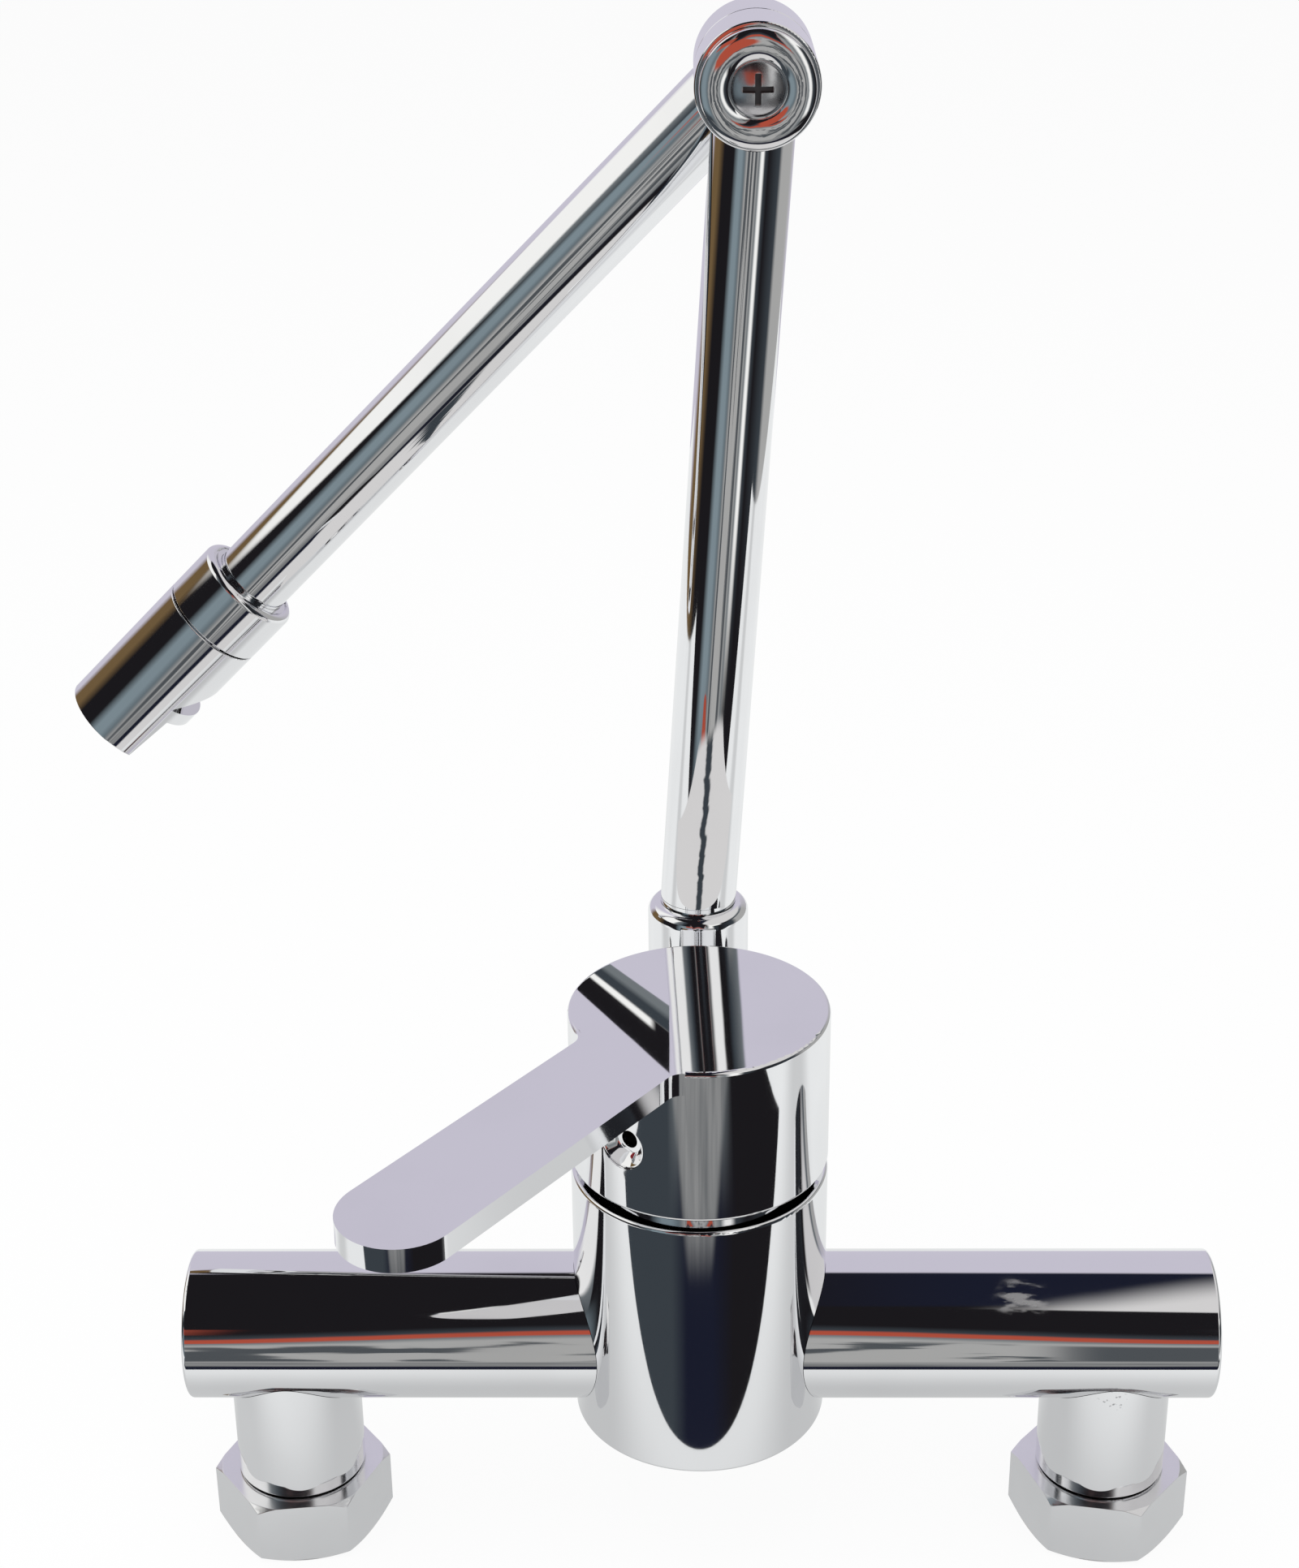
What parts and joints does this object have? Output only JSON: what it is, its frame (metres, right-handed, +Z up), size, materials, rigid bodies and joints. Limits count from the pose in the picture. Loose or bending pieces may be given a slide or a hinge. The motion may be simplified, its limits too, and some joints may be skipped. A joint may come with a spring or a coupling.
{
  "type": "folding caravan tap",
  "caption": "Chrome lever mixer tap on a horizontal bar with union nuts, its spout a swivelling riser with a knuckle, a folding arm and a turning nozzle.",
  "frame": {"origin": "midway between the two inlets, in the plane of the union nuts' lower faces", "axes": "+Z up, +X to the right along the bar, +Y away from the user, towards the spout"},
  "size_m": [0.209, 0.1371, 0.2704],
  "materials": {
    "chrome": "polished plating",
    "brass": "turned",
    "rubber": "moulded",
    "white_plastic": "moulded",
    "black_plastic": "moulded",
    "ceramic": "lapped",
    "steel": "bright",
    "red_enamel": "enamel"
  },
  "bodies": {
    "base": {"mixer_body": "chrome", "left_bar_arm": "chrome", "right_bar_arm": "chrome", "left_tail": "chrome", "right_tail": "chrome", "left_nipple": "brass", "right_nipple": "brass", "left_washer": "rubber", "right_washer": "rubber", "cartridge_base": "white_plastic", "port_seals": "rubber", "fixed_disc": "ceramic", "cartridge_housing": "white_plastic", "lock_ring": "brass", "shroud": "chrome", "spout_socket": "chrome", "spout_lock_screw": "steel"},
    "left_nut": {"left_union_nut": "chrome"},
    "right_nut": {"right_union_nut": "chrome"},
    "turn": {"stem_guide": "white_plastic", "pivot_pin": "steel"},
    "disc": {"moving_disc": "ceramic", "disc_carrier": "white_plastic"},
    "lever": {"handle": "chrome", "stem": "brass", "set_screw": "steel", "index_plug": "chrome", "index_mark": "red_enamel"},
    "spout": {"spout_spigot": "chrome", "spigot_seals": "rubber", "riser_tube": "chrome", "knuckle_front": "chrome"},
    "arm": {"knuckle_rear": "chrome", "knuckle_seals": "rubber", "knuckle_disc": "chrome", "knuckle_screw": "steel", "arm_tube": "chrome", "nozzle_collar": "chrome", "nozzle_seal": "rubber"},
    "nozzle": {"nozzle_body": "chrome", "aerator": "black_plastic"}
  },
  "joints": [
    {"name": "left_nut_spin", "type": "hinge", "parent": "base", "child": "left_nut", "pos_m": [-0.075, 0, 0], "axis": [0, 0, 1], "continuous": true},
    {"name": "right_nut_spin", "type": "hinge", "parent": "base", "child": "right_nut", "pos_m": [0.075, 0, 0], "axis": [0, 0, 1], "continuous": true},
    {"name": "handle_turn", "type": "hinge", "parent": "base", "child": "turn", "pos_m": [0, 0, 0.084], "axis": [0, 0, 1], "range_deg": [-15, 85]},
    {"name": "handle_lift", "type": "hinge", "parent": "turn", "child": "lever", "pos_m": [0, 0, 0.084], "axis": [-0.809, 0.5878, 0], "range_deg": [0, 12]},
    {"name": "disc_slide", "type": "slide", "parent": "turn", "child": "disc", "axis": [-0.5878, -0.809, 0], "range_m": [0, 0.0026]},
    {"name": "spout_swivel", "type": "hinge", "parent": "base", "child": "spout", "pos_m": [0, 0.04, 0.0704], "axis": [0, 0, 1], "range_deg": [-130, 50]},
    {"name": "arm_fold", "type": "hinge", "parent": "spout", "child": "arm", "pos_m": [0.00981, 0.04, 0.26008], "axis": [0, 1, 0], "range_deg": [-35, 139]},
    {"name": "nozzle_turn", "type": "hinge", "parent": "arm", "child": "nozzle", "pos_m": [-0.0891, 0.05465, 0.161], "axis": [-0.7065, 0, -0.7077], "continuous": true}
  ],
  "couplings": [
    {"joint": "disc_slide", "follows": "handle_lift", "m_per_rad": 0.0121}
  ]
}
